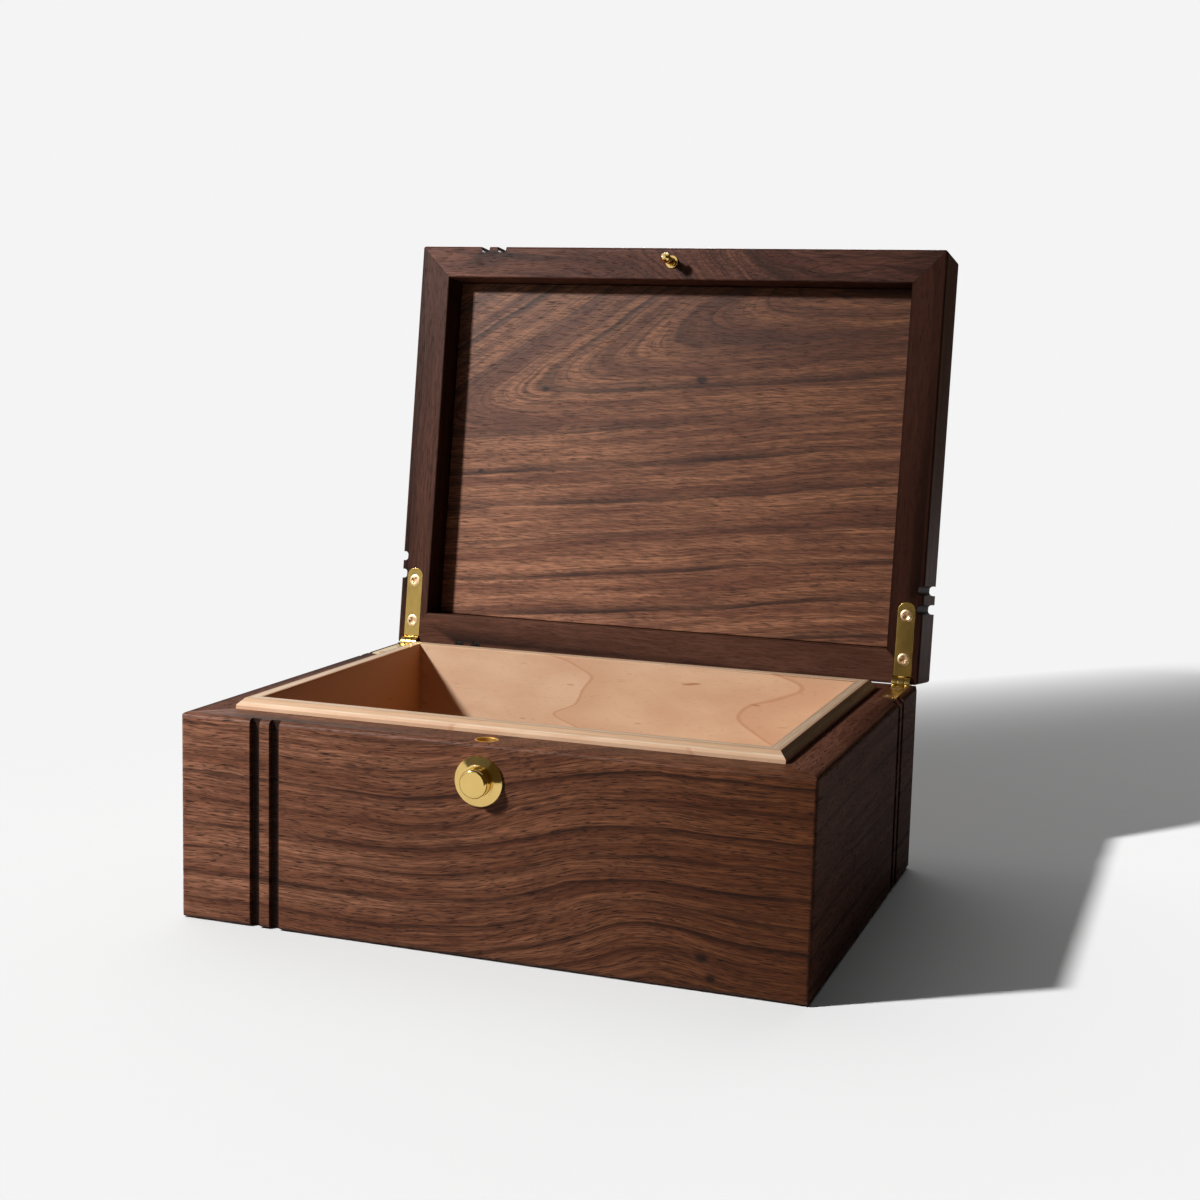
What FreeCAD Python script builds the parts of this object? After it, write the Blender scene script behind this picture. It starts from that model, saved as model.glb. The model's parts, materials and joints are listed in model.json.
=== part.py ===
import FreeCAD, Part
import math
import os

V = FreeCAD.Vector
X_AXIS = V(1, 0, 0)
Y_AXIS = V(0, 1, 0)
Z_AXIS = V(0, 0, 1)

# A keepsake box with its lid standing open. Millimetres. The origin is the centre of the
# underside, +Z is up and the front faces -Y.

# Outside sizes
box_width = 254.0
box_depth = 192.5
base_height = 82.6
lid_height = 33.1
lid_gap = 0.4
lid_open_angle = 97.3

# Walls of the base
wall_thickness = 15.5
corner_radius = 1.7
rim_edge_radius = 2.3
back_edge_radius = 0.6
foot_edge_radius = 2.0

# Bottom panel, in a rabbet that leaves it flush with the underside
bottom_thickness = 6.0
bottom_rabbet = 6.0
bottom_clearance = 0.2

# Liner, which stands on the bottom panel and rises above the rim
liner_thickness = 7.8
liner_proud = 4.2
liner_chamfer = 2.7
liner_inner_ease = 0.6

# Lid frame and panel
lid_liner_clearance = 0.5
lid_top_radius = 2.7
lid_rim_radius = 1.2
lid_inner_ease = 0.8
lid_recess_depth = 14.0
panel_seam = 0.25
panel_tongue_length = 5.0
panel_tongue_thickness = 6.0
panel_tongue_play = 0.3

# Paired grooves, wrapped round the box like ribbon: one pair from the left end, one from the back
groove_width = 4.3
groove_pitch = 8.5
groove_depth = 2.7
groove_from_left = 30.6
groove_from_back = 31.3
grooves_in_pair = 2

# Hinges
hinge_inset = 7.1
leaf_width = 8.0
leaf_length = 36.4
leaf_thickness = 2.0
leaf_end_flat = 0.3
knuckle_radius = 3.15
knuckle_reach = 3.5
tongue_width = 3.1
knuckle_gap = 0.2
hinge_pin_radius = 1.2
pin_clearance = 0.05
heel_height = 1.0
stop_gap = 0.02
swing_clearance = 0.3
mortise_fit = 0.05
screw_from_pin = 10.9
screw_from_end = 6.0

# Countersunk hinge screws
screw_head_radius = 2.6
screw_head_depth = 1.3
screw_shank_radius = 1.3
screw_length = 12.0
screw_flats = 12
screw_fit = 0.05

# Push-button latch, its axis along Y in the front wall
latch_drop = 14.4
flange_radius = 9.5
flange_rim_thickness = 0.8
flange_crown_height = 1.7
flange_lip_radius = 6.5
flange_lip_height = 2.2
barrel_radius = 8.0
barrel_bore_radius = 6.5
barrel_lip = 0.8
barrel_end_clearance = 0.3
button_radius = 5.5
button_proud = 6.4
button_chamfer = 0.9
button_travel = 2.5
press_clearance = 0.3
sliding_clearance = 0.1
slide_length = 9.8
end_cap_thickness = 1.2
seat_fit = 0.03

# Return spring, in a pocket below the keyhole
spring_drop = 2.7
spring_radius = 1.95
spring_wire = 0.5
spring_pocket_clearance = 0.3
spring_pocket_depth = 7.4

# Catch stud on the lid's front rail, and the bushing that it enters
stud_setback = 6.6
stud_collar_radius = 3.0
stud_collar_thickness = 0.9
stud_shank_radius = 1.8
stud_neck_radius = 1.4
stud_neck_length = 2.6
stud_head_radius = 2.35
stud_head_length = 2.9
stud_tip_radius = 1.0
stud_head_land = 0.9
stud_screw_radius = 1.6
stud_screw_length = 11.0
keyhole_clearance = 0.3
keyhole_lip = 1.4
stud_tip_clearance = 0.6
bushing_radius = 4.6
bushing_bore_radius = 3.7
bushing_length = 5.6

# Cutters run past the faces that they open
overrun = 5.0

# Derived sizes and places
half_width = box_width / 2
half_depth = box_depth / 2
lid_bottom = base_height + lid_gap
lid_top = lid_bottom + lid_height
rail_width = wall_thickness - lid_liner_clearance
panel_thickness = lid_height - lid_recess_depth
hinge_axis_point = V(0, half_depth, base_height + lid_gap / 2)
hinge_places = {"left": hinge_inset - half_width, "right": half_width - hinge_inset}
heel_sweep = math.hypot(knuckle_reach, (lid_gap + leaf_thickness + heel_height) / 2)
knuckle_notch_radius = heel_sweep + swing_clearance
screw_places = (screw_from_pin, leaf_length - screw_from_end)
leaf_end_radius = (leaf_width - leaf_end_flat) / 2
latch_height = base_height - latch_drop
latch_point = V(0, -half_depth, latch_height)
stud_y = stud_setback - half_depth
slide_radius = barrel_bore_radius - sliding_clearance
slide_rear = barrel_lip + slide_length
end_cap_front = slide_rear + button_travel + press_clearance
barrel_length = end_cap_front + end_cap_thickness
keyhole_roof = latch_height + slide_radius - keyhole_lip
stud_shoulder = lid_bottom - (keyhole_roof - keyhole_clearance)
stud_length = stud_shoulder + stud_head_length
SIDES = ("front", "right", "back", "left")


def block(low, high):
    """A box between its lowest and highest corners."""
    size = high - low
    return Part.makeBox(size.x, size.y, size.z, low)


def outline(points, radii):
    """A closed wire through the points, with each corner rounded by its own radius."""
    corners = []
    for i, corner in enumerate(points):
        backward = (points[i - 1] - corner).normalize()
        forward = (points[(i + 1) % len(points)] - corner).normalize()
        half_turn = backward.getAngle(forward) / 2
        reach = radii[i] / math.tan(half_turn)
        rise = radii[i] / math.sin(half_turn) - radii[i]
        middle = corner + (backward + forward).normalize() * rise
        corners.append((corner + backward * reach, middle, corner + forward * reach))
    edges = []
    for i, (start, middle, end) in enumerate(corners):
        if radii[i] > 0:
            edges.append(Part.Arc(start, middle, end).toShape())
        following = corners[(i + 1) % len(corners)][0]
        edges.append(Part.LineSegment(end, following).toShape())
    return Part.Wire(edges)


def turned(profile, place, direction):
    """A turned piece from (radius, distance along) points, set at a place along a direction."""
    points = [V(radius, 0, along) for radius, along in profile]
    face = Part.Face(Part.makePolygon(points + points[:1]))
    solid = face.revolve(V(0, 0, 0), Z_AXIS, 360)
    solid.Placement = FreeCAD.Placement(place, FreeCAD.Rotation(Z_AXIS, direction))
    return solid


def flatted(profile, place, direction):
    """A small turned piece with flats in place of its round faces, from (radius, distance along) points."""
    turns = [2 * math.pi * flat / screw_flats for flat in range(screw_flats)]
    rings = [[V(radius * math.cos(turn), radius * math.sin(turn), along) for turn in turns]
             for radius, along in profile]
    loops = [rings[0], rings[-1]]
    for near, far in zip(rings, rings[1:]):
        for i in range(screw_flats):
            loops.append([near[i - 1], near[i], far[i], far[i - 1]])
    faces = [Part.Face(Part.makePolygon(loop + loop[:1])) for loop in loops]
    solid = Part.makeSolid(Part.makeShell(faces))
    solid.Placement = FreeCAD.Placement(place, FreeCAD.Rotation(Z_AXIS, direction))
    return solid


def cut_all(shape, cutters):
    """The shape less every cutter, with the seams left by the cuts removed."""
    return shape.cut(cutters).removeSplitter()


def mitred_boards(sections, ring_width, ring_depth, outer_radius):
    """Four boards, mitred into a ring. The points of each side's section are
    (inset from the outside face, height, corner radius)."""
    corners = [corner for section in sections.values() for corner in section]
    deepest = max(inset for inset, height, radius in corners) + overrun
    low = min(height for inset, height, radius in corners) - overrun
    high = max(height for inset, height, radius in corners) + overrun
    rise = V(0, 0, high - low)
    ring_corners = [
        V(-ring_width / 2, -ring_depth / 2, low),
        V(ring_width / 2, -ring_depth / 2, low),
        V(ring_width / 2, ring_depth / 2, low),
        V(-ring_width / 2, ring_depth / 2, low),
    ]
    post = Part.Face(outline(ring_corners, [outer_radius] * len(ring_corners))).extrude(rise)
    boards = {}
    for i, side in enumerate(SIDES):
        lengthwise = side in ("front", "back")
        reach = (ring_depth if lengthwise else ring_width) / 2
        half_length = (ring_width if lengthwise else ring_depth) / 2
        points = [V(-half_length, inset - reach, height) for inset, height, radius in sections[side]]
        radii = [radius for inset, height, radius in sections[side]]
        bar = Part.Face(outline(points, radii)).extrude(V(2 * half_length, 0, 0))
        mitre = Part.makePolygon([
            V(-half_length - overrun, -reach - overrun, low),
            V(half_length + overrun, -reach - overrun, low),
            V(half_length - deepest, deepest - reach, low),
            V(deepest - half_length, deepest - reach, low),
            V(-half_length - overrun, -reach - overrun, low),
        ])
        board = bar.common(Part.Face(mitre).extrude(rise))
        board.rotate(V(0, 0, 0), Z_AXIS, 360 * i / len(SIDES))
        boards[side] = board.common(post)
    return boards


def face_grooves(low, high):
    """Cutters for the upright grooves on the four outside faces between two heights."""
    cutters = []
    for i in range(grooves_in_pair):
        left = groove_from_left + i * groove_pitch - half_width
        back = half_depth - groove_from_back - i * groove_pitch
        for y in (-half_depth, half_depth):
            corner = V(left, y - groove_depth, low)
            cutters.append(block(corner, V(left + groove_width, y + groove_depth, high)))
        for x in (-half_width, half_width):
            corner = V(x - groove_depth, back - groove_width, low)
            cutters.append(block(corner, V(x + groove_depth, back, high)))
    return cutters


def top_grooves():
    """Cutters for the grooves across the lid's top, in line with those on its faces."""
    floor = lid_top - groove_depth
    cutters = []
    for i in range(grooves_in_pair):
        left = groove_from_left + i * groove_pitch - half_width
        back = half_depth - groove_from_back - i * groove_pitch
        cutters.append(block(
            V(left, -half_depth - overrun, floor),
            V(left + groove_width, half_depth + overrun, lid_top + overrun)))
        cutters.append(block(
            V(-half_width - overrun, back - groove_width, floor),
            V(half_width + overrun, back, lid_top + overrun)))
    return cutters


def screw_body(clearance):
    """Profile of a countersunk screw from its head's face, enlarged by a clearance."""
    return [
        (screw_head_radius + clearance, 0),
        (screw_shank_radius + clearance, screw_head_depth),
        (screw_shank_radius + clearance, screw_length + clearance),
    ]


def screw_points(height):
    """Where the hinge screws' heads lie, at one height."""
    return [V(x, half_depth - along, height) for x in hinge_places.values() for along in screw_places]


def leaf_plate(low):
    """The flat of a hinge leaf, from its rounded end to the knuckle, about the pin's axis."""
    side = leaf_width / 2
    points = [
        V(-side, -knuckle_reach, low),
        V(side, -knuckle_reach, low),
        V(side, -leaf_length, low),
        V(-side, -leaf_length, low),
    ]
    wire = outline(points, [0, 0, leaf_end_radius, leaf_end_radius])
    return Part.Face(wire).extrude(V(0, 0, leaf_thickness))


def knuckle(left, right, low):
    """A knuckle from one X to another, with the tail that joins it to its leaf."""
    width = right - left
    barrel = Part.makeCylinder(knuckle_radius, width, V(left, 0, 0), X_AXIS)
    tail = block(V(left, -knuckle_reach, low), V(right, 0, low + leaf_thickness))
    return barrel.fuse(tail)


def leaf_holes(low, face):
    """Cutters for a leaf's pin hole and its countersunk screw holes, about the pin's axis."""
    direction = Z_AXIS if face < low + leaf_thickness / 2 else -Z_AXIS
    bore = hinge_pin_radius + pin_clearance
    holes = [Part.makeCylinder(bore, 2 * leaf_width, V(-leaf_width, 0, 0), X_AXIS)]
    for along in screw_places:
        holes.append(flatted(screw_body(screw_fit), V(0, -along, face), direction))
    return holes


def base_leaf():
    """The leaf let into the rim, with an ear each side of the lid leaf's tongue."""
    face = -lid_gap / 2
    low = face - leaf_thickness
    inner = tongue_width / 2 + knuckle_gap
    outer = leaf_width / 2
    leaf = leaf_plate(low).fuse([knuckle(-outer, -inner, low), knuckle(inner, outer, low)])
    return cut_all(leaf, leaf_holes(low, face))


def lid_leaf():
    """The leaf let into the lid, with a tongue whose heel meets the base leaf when the lid is open."""
    low = lid_gap / 2
    side = tongue_width / 2
    middle = -(lid_gap + leaf_thickness) / 2
    heel = block(
        V(-side, stop_gap - knuckle_reach, middle - heel_height / 2),
        V(side, 0, middle + heel_height / 2))
    heel.rotate(V(0, 0, 0), X_AXIS, lid_open_angle)
    leaf = leaf_plate(low).fuse([knuckle(-side, side, low), heel])
    return cut_all(leaf, leaf_holes(low, low))


def hinge_mortises(low):
    """Cutters that let the leaves in from a height, with a round notch for each knuckle."""
    cutters = []
    side = leaf_width / 2 + mortise_fit
    for x in hinge_places.values():
        points = [
            V(x - side, half_depth + overrun, low),
            V(x + side, half_depth + overrun, low),
            V(x + side, half_depth - leaf_length - mortise_fit, low),
            V(x - side, half_depth - leaf_length - mortise_fit, low),
        ]
        wire = outline(points, [0, 0, leaf_end_radius, leaf_end_radius])
        cutters.append(Part.Face(wire).extrude(V(0, 0, leaf_thickness)))
        start = hinge_axis_point + V(x - side, 0, 0)
        cutters.append(Part.makeCylinder(knuckle_notch_radius, 2 * side, start, X_AXIS))
    return cutters


def base_walls():
    """The four mitred walls, cut for the latch, the hinges and the grooves."""
    shelf = wall_thickness - bottom_rabbet
    sections = {}
    for side in SIDES:
        sections[side] = [
            (0, 0, foot_edge_radius),
            (shelf, 0, 0),
            (shelf, bottom_thickness, 0),
            (wall_thickness, bottom_thickness, 0),
            (wall_thickness, base_height, 0),
            (0, base_height, back_edge_radius if side == "back" else rim_edge_radius),
        ]
    cutters = face_grooves(-overrun, base_height + overrun)
    cutters += hinge_mortises(base_height - leaf_thickness)
    for place in screw_points(base_height):
        cutters.append(flatted(screw_body(screw_fit), place, -Z_AXIS))
    bore_length = barrel_length + barrel_end_clearance
    cutters.append(Part.makeCylinder(barrel_radius + seat_fit, bore_length, latch_point, Y_AXIS))
    bushing_foot = V(0, stud_y, base_height - bushing_length)
    cutters.append(Part.makeCylinder(bushing_radius + seat_fit, bushing_length, bushing_foot))
    cutters.append(Part.makeCylinder(bushing_bore_radius, latch_drop, V(0, stud_y, latch_height)))
    boards = mitred_boards(sections, box_width, box_depth, corner_radius)
    return {f"base_{side}": cut_all(board, cutters) for side, board in boards.items()}


def bottom_panel():
    """The panel in the walls' rabbet."""
    inset = wall_thickness - bottom_rabbet + bottom_clearance
    corner = V(half_width - inset, half_depth - inset, 0)
    return block(-corner, corner + V(0, 0, bottom_thickness))


def liner():
    """Four mitred liner boards with a bevelled outer edge above the rim."""
    top = base_height + liner_proud
    section = [
        (0, bottom_thickness, 0),
        (liner_thickness, bottom_thickness, 0),
        (liner_thickness, top, liner_inner_ease),
        (liner_chamfer, top, 0),
        (0, top - liner_chamfer, 0),
    ]
    width = box_width - 2 * wall_thickness
    depth = box_depth - 2 * wall_thickness
    boards = mitred_boards({side: section for side in SIDES}, width, depth, 0)
    return {f"liner_{side}": board for side, board in boards.items()}


def lid_rails():
    """The lid's four mitred rails, grooved inside for the panel's tongue."""
    slot_low = lid_top - (panel_thickness + panel_tongue_thickness) / 2 - panel_tongue_play
    slot_high = slot_low + panel_tongue_thickness + 2 * panel_tongue_play
    slot_floor = rail_width - panel_tongue_length
    sections = {}
    for side in SIDES:
        sections[side] = [
            (0, lid_bottom, back_edge_radius if side == "back" else lid_rim_radius),
            (rail_width, lid_bottom, lid_inner_ease),
            (rail_width, slot_low, 0),
            (slot_floor, slot_low, 0),
            (slot_floor, slot_high, 0),
            (rail_width, slot_high, 0),
            (rail_width, lid_top, 0),
            (0, lid_top, lid_top_radius),
        ]
    cutters = face_grooves(lid_bottom - overrun, lid_top + overrun) + top_grooves()
    cutters += hinge_mortises(lid_bottom)
    for place in screw_points(lid_bottom):
        cutters.append(flatted(screw_body(screw_fit), place, Z_AXIS))
    hole = stud_screw_radius + seat_fit
    cutters.append(Part.makeCylinder(hole, stud_screw_length, V(0, stud_y, lid_bottom)))
    boards = mitred_boards(sections, box_width, box_depth, corner_radius)
    return {f"lid_{side}_rail": cut_all(board, cutters) for side, board in boards.items()}


def lid_panel():
    """The lid's panel: flush with the rails on top, with a tongue all round."""
    inset = rail_width + panel_seam
    board = block(
        V(inset - half_width, inset - half_depth, lid_top - panel_thickness),
        V(half_width - inset, half_depth - inset, lid_top))
    reach = inset - panel_tongue_length
    tongue_low = lid_top - (panel_thickness + panel_tongue_thickness) / 2
    tongue = block(
        V(reach - half_width, reach - half_depth, tongue_low),
        V(half_width - reach, half_depth - reach, tongue_low + panel_tongue_thickness))
    return cut_all(board.fuse(tongue), top_grooves())


def latch_barrel():
    """The flange and barrel in one turned piece, opened on top for the catch stud."""
    hole = button_radius + sliding_clearance
    profile = [
        (hole, -flange_lip_height),
        (flange_lip_radius, -flange_lip_height),
        (flange_lip_radius, -flange_crown_height),
        (flange_radius, -flange_rim_thickness),
        (flange_radius, 0),
        (barrel_radius, 0),
        (barrel_radius, barrel_length),
        (barrel_bore_radius, barrel_length),
        (barrel_bore_radius, barrel_lip),
        (hole, barrel_lip),
    ]
    stud_way = Part.makeCylinder(bushing_bore_radius, barrel_radius, V(0, stud_y, latch_height))
    return turned(profile, latch_point, Y_AXIS).cut(stud_way)


def latch_end_cap():
    """The disc that closes the barrel and backs the spring."""
    start = latch_point + V(0, end_cap_front, 0)
    return Part.makeCylinder(barrel_bore_radius - seat_fit, end_cap_thickness, start, Y_AXIS)


def latch_button():
    """The push button, with its stem through the flange."""
    profile = [
        (0, -button_proud),
        (button_radius - button_chamfer, -button_proud),
        (button_radius, button_chamfer - button_proud),
        (button_radius, barrel_lip),
        (0, barrel_lip),
    ]
    return turned(profile, latch_point, Y_AXIS)


def keyhole(stud_radius, release_radius, low, height):
    """An upright keyhole: a slot that holds the stud, with a release hole in front of it."""
    release = V(0, stud_y - button_travel, low)
    hold = V(0, stud_y, low)
    slot = block(release - V(stud_radius, 0, 0), hold + V(stud_radius, 0, height))
    eye = Part.makeCylinder(release_radius, height, release)
    return eye.fuse([slot, Part.makeCylinder(stud_radius, height, hold)])


def latch_slide():
    """The slide that catches the stud's neck: a keyhole in its roof over a chamber for the head."""
    start = latch_point + V(0, barrel_lip, 0)
    slide = Part.makeCylinder(slide_radius, slide_length, start, Y_AXIS)
    neck = stud_neck_radius + keyhole_clearance
    head = stud_head_radius + keyhole_clearance
    chamber_floor = lid_bottom - stud_length - stud_tip_clearance
    pocket = latch_point + V(0, slide_rear - spring_pocket_depth, -spring_drop)
    pocket_radius = spring_radius + spring_pocket_clearance
    return cut_all(slide, [
        keyhole(neck, head, keyhole_roof, 2 * keyhole_lip),
        keyhole(head, head, chamber_floor, keyhole_roof - chamber_floor),
        Part.makeCylinder(pocket_radius, spring_pocket_depth, pocket, Y_AXIS),
    ])


def latch_spring():
    """The return spring, from the pocket's floor to the end cap, as the sleeve that its wire fills."""
    profile = [
        (spring_radius - spring_wire, slide_rear - spring_pocket_depth),
        (spring_radius, slide_rear - spring_pocket_depth),
        (spring_radius, end_cap_front),
        (spring_radius - spring_wire, end_cap_front),
    ]
    return turned(profile, latch_point - V(0, 0, spring_drop), Y_AXIS)


def latch_bushing():
    """The ring in the rim that the stud enters."""
    profile = [
        (bushing_bore_radius, 0),
        (bushing_radius, 0),
        (bushing_radius, bushing_length),
        (bushing_bore_radius, bushing_length),
    ]
    return turned(profile, V(0, stud_y, base_height), -Z_AXIS)


def catch_stud():
    """The headed stud, screwed up into the lid's front rail."""
    profile = [
        (0, -stud_screw_length),
        (stud_screw_radius, -stud_screw_length),
        (stud_screw_radius, 0),
        (stud_collar_radius, 0),
        (stud_collar_radius, stud_collar_thickness),
        (stud_shank_radius, stud_collar_thickness),
        (stud_shank_radius, stud_shoulder - stud_neck_length),
        (stud_neck_radius, stud_shoulder - stud_neck_length),
        (stud_neck_radius, stud_shoulder),
        (stud_head_radius, stud_shoulder),
        (stud_head_radius, stud_shoulder + stud_head_land),
        (stud_tip_radius, stud_length),
        (0, stud_length),
    ]
    return turned(profile, V(0, stud_y, lid_bottom), -Z_AXIS)


def moved(shape, shift):
    """A copy of the shape, shifted."""
    copy = shape.copy()
    copy.translate(shift)
    return copy


def hinge_pin():
    """The pin through both leaves, about its own middle."""
    return Part.makeCylinder(hinge_pin_radius, leaf_width, V(-leaf_width / 2, 0, 0), X_AXIS)


def base_nodes():
    """Every piece that stays with the base, and the button and slide in it."""
    nodes = base_walls()
    nodes["bottom_panel"] = bottom_panel()
    nodes.update(liner())
    for side, x in hinge_places.items():
        place = hinge_axis_point + V(x, 0, 0)
        nodes[f"{side}_hinge_base_leaf"] = moved(base_leaf(), place)
        nodes[f"{side}_hinge_pin"] = moved(hinge_pin(), place)
    screws = [flatted(screw_body(0), place, -Z_AXIS) for place in screw_points(base_height)]
    nodes["base_hinge_screws"] = Part.makeCompound(screws)
    nodes["latch_barrel"] = latch_barrel()
    nodes["latch_end_cap"] = latch_end_cap()
    nodes["latch_button"] = latch_button()
    nodes["latch_slide"] = latch_slide()
    nodes["latch_spring"] = latch_spring()
    nodes["latch_bushing"] = latch_bushing()
    return nodes


def lid_nodes():
    """Every piece that turns with the lid, in the closed pose."""
    nodes = lid_rails()
    nodes["lid_panel"] = lid_panel()
    for side, x in hinge_places.items():
        nodes[f"{side}_hinge_lid_leaf"] = moved(lid_leaf(), hinge_axis_point + V(x, 0, 0))
    screws = [flatted(screw_body(0), place, Z_AXIS) for place in screw_points(lid_bottom)]
    nodes["lid_hinge_screws"] = Part.makeCompound(screws)
    nodes["catch_stud"] = catch_stud()
    return nodes


def main():
    os.makedirs("parts", exist_ok=True)
    nodes = base_nodes()
    for name, shape in lid_nodes().items():
        shape.rotate(hinge_axis_point, X_AXIS, -lid_open_angle)
        nodes[name] = shape
    for name, shape in nodes.items():
        shape.exportStep(f"parts/{name}.step")


main()
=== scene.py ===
import json
import math

import bmesh
import bpy
from mathutils import Matrix, Vector


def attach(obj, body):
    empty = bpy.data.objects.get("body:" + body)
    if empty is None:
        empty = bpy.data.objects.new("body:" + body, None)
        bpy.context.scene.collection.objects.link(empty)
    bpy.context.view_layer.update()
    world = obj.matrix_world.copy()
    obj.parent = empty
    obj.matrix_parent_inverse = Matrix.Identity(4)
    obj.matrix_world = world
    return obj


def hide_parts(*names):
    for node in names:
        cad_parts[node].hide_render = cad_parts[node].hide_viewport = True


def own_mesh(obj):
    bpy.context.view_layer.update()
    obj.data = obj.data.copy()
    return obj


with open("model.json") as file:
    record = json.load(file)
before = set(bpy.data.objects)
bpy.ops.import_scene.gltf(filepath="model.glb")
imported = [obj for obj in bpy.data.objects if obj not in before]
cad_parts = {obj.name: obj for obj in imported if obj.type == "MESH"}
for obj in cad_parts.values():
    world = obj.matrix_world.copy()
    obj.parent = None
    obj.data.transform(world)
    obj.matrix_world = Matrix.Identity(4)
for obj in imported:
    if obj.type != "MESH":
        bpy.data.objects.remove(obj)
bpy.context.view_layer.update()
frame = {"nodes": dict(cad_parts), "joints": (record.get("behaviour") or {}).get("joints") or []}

MM = 0.001
X = Vector((1, 0, 0))
Y = Vector((0, 1, 0))
Z = Vector((0, 0, 1))

# Sizes of the box, in millimetres, as in the part
half_width = 127.0
half_depth = 96.25
rim_height = 82.6
lid_gap = 0.4
lid_panel_underside = 97.0
lid_top = 116.1
rim_low = rim_height + lid_gap
wall_thickness = 15.5
rail_width = 15.0
groove_width = 4.3
groove_depth = 2.7
groove_floor_radius = 1.95
groove_floor_steps = 4
groove_slack = 0.1
left_grooves = (-96.4, -87.9)
back_grooves = (60.65, 52.15)
hinge_inset = 7.1
screws_from_pin = (10.9, 30.4)
latch_height = 68.2

# Liner plywood: where its two faces end, and how thick its plies are
ply_faces = (0.7, 7.1)
ply_thickness = 1.3

# A place in a board is given along the grain, across the board and in from its face
ALONG, ACROSS, INWARD = 0, 1, 2

# Edges and seams
board_ease = 0.55
liner_ease = 0.25
brass_ease = 0.28
ease_steps = 2
mitre_slack = 0.01
seam_reach = 0.002
flat_angle = math.radians(0.6)
eased_angle = math.radians(28)
sharp_angle = math.radians(52)

# Hinge screws
screw_face_radius = 1.9
screw_brow_radius = 2.45
screw_brow_proud = 0.1
screw_head_radius = 2.69
screw_head_land = 0.06
screw_head_depth = 1.35
screw_shank_radius = 1.25
screw_length = 11.5
screw_straight_share = 0.7
screw_tip_radius = 0.25
screw_face_proud = 0.15
screw_arm = 1.7
screw_arm_half_width = 0.5
screw_recess_depth = 0.8
screw_recess_floor = 0.55
screw_turns = (20, 67, 101, 38)
screw_sides = 40

# Button and return spring
button_radius = 5.5
button_face = -102.65
button_back = -95.45
button_round = 1.15
button_round_steps = 8
button_ring_share = 0.5
button_sides = 96
button_centre = 0.02
spring_axis_height = 65.5
spring_front = -93.05
spring_rear = -82.85
spring_coil_radius = 1.69
spring_wire_radius = 0.25
spring_turns = 7
spring_closed_share = 0.12
spring_steps_per_turn = 24
spring_wire_sides = 10

# Camera, from the photograph's perspective
camera_target = Vector((11.33, 0, 124.61)) * MM
camera_distance = 759.7 * MM
camera_heading = math.radians(19.539)
camera_elevation = math.radians(7.888)
camera_roll = math.radians(1.4274)
camera_lens = 55.472
camera_sensor = 36

# Studio
key_place = Vector((-535, -596, 640)) * MM
key_radius = 45 * MM
key_power = 43.0
rear_place = Vector((-150, 850, 520)) * MM
rear_radius = 150 * MM
rear_power = 17.0
floor_key_place = Vector((-326, -410, 532)) * MM
floor_key_radius = 20 * MM
floor_key_power = 92.0
floor_key_level = 2.3
floor_sky_from = Vector((-0.383, 0.663, 0.643))
floor_sky_level = 0.37
floor_sky_angle = math.radians(80)
floor_bounce = 0.2
fill_level = 0.01
backdrop_level = 0.905
floor_radius = 2600 * MM
floor_sides = 96
floor_tone_limit = 0.97
floor_fade = (1100 * MM, 2400 * MM)
shadow_fade_across = (-1.11, 1, 0)
shadow_fade = (182 * MM, 517 * MM)
shadow_fade_power = 2.7
floor_drop = 0.2 * MM
cloth_height = 2000 * MM
ceiling_height = 1600 * MM
card_bottom = 135 * MM
card_top = 210 * MM
dark_cloth_line = [(-20, -400), (1300, -400), (1500, 300), (1200, 1300), (160, 1600)]
grey_card_line = [(-800, -400), (-20, -400)]
light_stop_height = 80 * MM
light_stop_front = [(-127, 93), (127, 93)]
light_stop_back = [(-127, 102), (127, 102)]
ceiling_front = [(-1500, -2000), (1500, -2000)]
ceiling_back = [(-1500, 400), (1500, 400)]
dark_cloth_tone = "#443a22"
ceiling_tone = "#505050"
grey_card_tone = "#5c5a54"


def colour(code):
    """Linear red, green, blue and alpha of an sRGB hex colour."""
    parts = [int(code[i:i + 2], 16) / 255 for i in (1, 3, 5)]
    return [p / 12.92 if p <= 0.04045 else ((p + 0.055) / 1.055) ** 2.4 for p in parts] + [1]


def add(tree, kind, inputs, **settings):
    """Adds a node with its settings. Each input is a value, a socket or another node's first output.
    Sockets go by name or number: in a MapRange 1 and 2 are the range that goes in, 3 and 4 what comes out."""
    node = tree.nodes.new("ShaderNode" + kind)
    for name, value in settings.items():
        setattr(node, name, value)
    for key, value in inputs.items():
        if isinstance(value, bpy.types.Node):
            value = value.outputs[0]
        if isinstance(value, bpy.types.NodeSocket):
            tree.links.new(value, node.inputs[key])
        else:
            node.inputs[key].default_value = value
    return node


def bare_tree(owner):
    """The emptied node tree of a material, a lamp or the world."""
    owner.use_nodes = True
    owner.node_tree.nodes.clear()
    return owner.node_tree


def new_finish(name, sockets):
    """A material with some of its shader's sockets set. Gives the material, its tree and its shader."""
    material = bpy.data.materials.new(name)
    material.use_nodes = True
    shader = material.node_tree.nodes["Principled BSDF"]
    for socket, value in sockets.items():
        shader.inputs[socket].default_value = value
    return material, material.node_tree, shader


def drawn_noise(tree, place, size, detail, dimensions="3D"):
    """Noise whose features have a given size in millimetres along each axis of a place."""
    scaled = add(tree, "Mapping", {0: place, "Scale": [1 / side for side in size]})
    return add(tree, "TexNoise", {"Vector": scaled, "Scale": 1, "Detail": detail},
               noise_dimensions=dimensions)


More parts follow.
